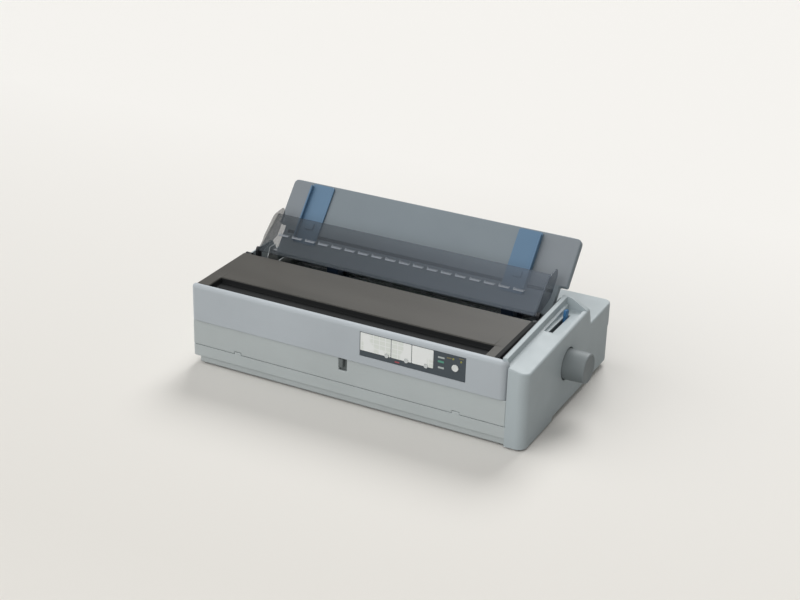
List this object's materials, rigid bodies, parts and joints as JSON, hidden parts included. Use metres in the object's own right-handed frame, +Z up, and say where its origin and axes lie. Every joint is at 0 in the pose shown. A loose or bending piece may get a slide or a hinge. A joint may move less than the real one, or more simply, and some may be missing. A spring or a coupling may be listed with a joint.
{
  "type": "dot matrix printer",
  "caption": "Wide desktop dot matrix printer with hinged smoked covers, a leaning sheet guide, paper feed knob, control panel, and a moving carriage and paper drive inside.",
  "frame": {"origin": "middle of the printer's footprint, at the underside of its feet", "axes": "+X to the printer's right as seen from the front, +Y to its rear, +Z up"},
  "size_m": [0.626, 0.3526, 0.2321],
  "materials": {
    "case_lower": "fine moulded texture",
    "case_upper": "fine moulded texture",
    "fascia_grey": "fine moulded texture",
    "feet_rubber": "moulded",
    "zinc_steel": "zinc plated sheet",
    "screw_steel": "zinc plated",
    "pin_steel": "ground",
    "rod_chrome": "polished",
    "panel_dark": "satin overlay",
    "label_pale": "satin overlay",
    "lens_amber": "clear tinted",
    "board_green": "solder mask",
    "button_silver": "satin silver",
    "button_white": "satin",
    "latch_grey": "moulded",
    "frame_black": "moulded",
    "smoked_cover": "smoked translucent",
    "smoked_hood": "smoked translucent",
    "scale_pale": "printed strip",
    "guide_grey": "fine moulded texture",
    "guide_blue": "moulded",
    "lever_blue": "moulded",
    "roller_rubber": "ground",
    "bush_bronze": "sintered",
    "knob_grey": "fine moulded texture",
    "gear_nylon": "moulded",
    "pinion_brass": "cut",
    "motor_black": "satin",
    "belt_rubber": "moulded",
    "tractor_plastic": "moulded",
    "carriage_black": "glass filled",
    "head_aluminium": "cast, finned",
    "cartridge_black": "moulded",
    "tape_black": "inked nylon",
    "inlet_black": "moulded"
  },
  "bodies": {
    "root": {"lower_case": "case_lower", "rubber_feet": "feet_rubber", "base_plate": "zinc_steel", "base_screws": "screw_steel", "upper_case": "case_upper", "case_screws": "screw_steel", "front_fascia": "fascia_grey", "control_panel": "panel_dark", "panel_labels": "label_pale", "led_lenses": "lens_amber", "control_board": "board_green", "side_frame_left": "zinc_steel", "side_frame_right": "zinc_steel", "hinge_frame": "frame_black", "release_lever_shaft": "pin_steel", "platen_bushes": "bush_bronze", "idler_stud": "pin_steel", "feed_motor": "motor_black", "paper_pan": "zinc_steel", "tractor_belt": "belt_rubber", "tractor_rail": "pin_steel", "guide_rod": "rod_chrome", "guide_rail": "zinc_steel", "ribbon_cartridge": "cartridge_black", "ribbon_tape": "tape_black", "carriage_belt": "belt_rubber", "carriage_motor": "motor_black", "rear_electronics": "board_green", "power_inlet": "inlet_black"},
    "front_cover": {"front_cover": "case_lower", "front_cover_pins": "pin_steel"},
    "front_latch": {"front_latch": "latch_grey"},
    "printer_cover": {"printer_cover": "smoked_cover", "printer_cover_pins": "pin_steel"},
    "guide_cover": {"guide_cover": "smoked_hood", "guide_cover_pins": "pin_steel", "guide_scale": "scale_pale"},
    "sheet_guide": {"sheet_guide": "guide_grey", "sheet_guide_pins": "pin_steel"},
    "edge_guide_left": {"edge_guide_left": "guide_blue"},
    "edge_guide_right": {"edge_guide_right": "guide_blue"},
    "release_lever": {"release_lever": "lever_blue"},
    "platen": {"platen_roller": "roller_rubber", "platen_shaft": "pin_steel", "platen_knob": "knob_grey", "platen_gear": "gear_nylon"},
    "idler_gear": {"idler_gear": "gear_nylon"},
    "motor_pinion": {"motor_pinion": "pinion_brass"},
    "tractor_shaft": {"tractor_shaft": "pin_steel", "tractor_pulley": "gear_nylon"},
    "tractor_left": {"tractor_left": "tractor_plastic"},
    "tractor_right": {"tractor_right": "tractor_plastic"},
    "carriage": {"carriage": "carriage_black", "print_head": "head_aluminium"},
    "drive_pulley": {"drive_pulley": "pinion_brass"},
    "idler_pulley": {"idler_pulley": "gear_nylon"},
    "line_feed_button": {"line_feed_button": "button_silver"},
    "form_feed_button": {"form_feed_button": "button_silver"},
    "tear_off_button": {"tear_off_button": "button_silver"},
    "pause_button": {"pause_button": "button_white"}
  },
  "joints": [
    {"name": "printer_cover_hinge", "type": "hinge", "parent": "root", "child": "printer_cover", "pos_m": [-0.018, -0.0175, 0.137], "axis": [-1, 0, 0], "range_deg": [0, 65]},
    {"name": "guide_cover_hinge", "type": "hinge", "parent": "root", "child": "guide_cover", "pos_m": [-0.018, -0.0025, 0.144], "axis": [1, 0, 0], "range_deg": [0, 50]},
    {"name": "sheet_guide_tilt", "type": "hinge", "parent": "root", "child": "sheet_guide", "pos_m": [-0.018, 0.0415, 0.128], "axis": [-1, 0, 0], "range_deg": [0, 30]},
    {"name": "left_edge_slide", "type": "slide", "parent": "sheet_guide", "child": "edge_guide_left", "axis": [1, 0, 0], "range_m": [-0.014, 0.142]},
    {"name": "right_edge_slide", "type": "slide", "parent": "sheet_guide", "child": "edge_guide_right", "axis": [1, 0, 0], "range_m": [-0.156, 0.024]},
    {"name": "front_cover_hinge", "type": "hinge", "parent": "root", "child": "front_cover", "pos_m": [-0.018, -0.1705, 0.0368], "axis": [1, 0, 0], "range_deg": [0, 75]},
    {"name": "front_latch_slide", "type": "slide", "parent": "front_cover", "child": "front_latch", "axis": [0, 0, -1], "range_m": [0, 0.004], "stiffness_N_per_m": 200, "springref_m": -0.001},
    {"name": "release_lever_swing", "type": "hinge", "parent": "root", "child": "release_lever", "pos_m": [0.2505, 0.0095, 0.066], "axis": [1, 0, 0], "range_deg": [0, 28]},
    {"name": "platen_spin", "type": "hinge", "parent": "root", "child": "platen", "pos_m": [-0.018, -0.0125, 0.08], "axis": [1, 0, 0], "continuous": true},
    {"name": "idler_spin", "type": "hinge", "parent": "root", "child": "idler_gear", "pos_m": [-0.306, 0.0055, 0.04882], "axis": [1, 0, 0], "continuous": true},
    {"name": "pinion_spin", "type": "hinge", "parent": "root", "child": "motor_pinion", "pos_m": [-0.306, 0.02109, 0.03982], "axis": [1, 0, 0], "continuous": true},
    {"name": "tractor_shaft_spin", "type": "hinge", "parent": "root", "child": "tractor_shaft", "pos_m": [-0.018, 0.1145, 0.08], "axis": [1, 0, 0], "continuous": true},
    {"name": "tractor_left_slide", "type": "slide", "parent": "root", "child": "tractor_left", "axis": [1, 0, 0], "range_m": [-0.03, 0.1]},
    {"name": "tractor_right_slide", "type": "slide", "parent": "root", "child": "tractor_right", "axis": [1, 0, 0], "range_m": [-0.1, 0.05]},
    {"name": "carriage_slide", "type": "slide", "parent": "root", "child": "carriage", "axis": [1, 0, 0], "range_m": [-0.18, 0.18]},
    {"name": "drive_pulley_spin", "type": "hinge", "parent": "root", "child": "drive_pulley", "pos_m": [-0.269, -0.0895, 0.03], "axis": [0, 0, 1], "range_deg": [-1100, 1100]},
    {"name": "idler_pulley_spin", "type": "hinge", "parent": "root", "child": "idler_pulley", "pos_m": [0.203, -0.0895, 0.03], "axis": [0, 0, 1], "range_deg": [-1100, 1100]},
    {"name": "line_feed_press", "type": "slide", "parent": "root", "child": "line_feed_button", "axis": [0, 1, 0], "range_m": [0, 0.0008], "stiffness_N_per_m": 300, "springref_m": -0.0005},
    {"name": "form_feed_press", "type": "slide", "parent": "root", "child": "form_feed_button", "axis": [0, 1, 0], "range_m": [0, 0.0008], "stiffness_N_per_m": 300, "springref_m": -0.0005},
    {"name": "tear_off_press", "type": "slide", "parent": "root", "child": "tear_off_button", "axis": [0, 1, 0], "range_m": [0, 0.0008], "stiffness_N_per_m": 300, "springref_m": -0.0005},
    {"name": "pause_press", "type": "slide", "parent": "root", "child": "pause_button", "axis": [0, 1, 0], "range_m": [0, 0.0008], "stiffness_N_per_m": 300, "springref_m": -0.0005}
  ],
  "couplings": [
    {"joint": "idler_spin", "follows": "platen_spin", "ratio": -2},
    {"joint": "pinion_spin", "follows": "platen_spin", "ratio": 4},
    {"joint": "tractor_shaft_spin", "follows": "platen_spin", "ratio": 1},
    {"joint": "drive_pulley_spin", "follows": "carriage_slide", "rad_per_m": 104.17},
    {"joint": "idler_pulley_spin", "follows": "carriage_slide", "rad_per_m": 104.17}
  ]
}
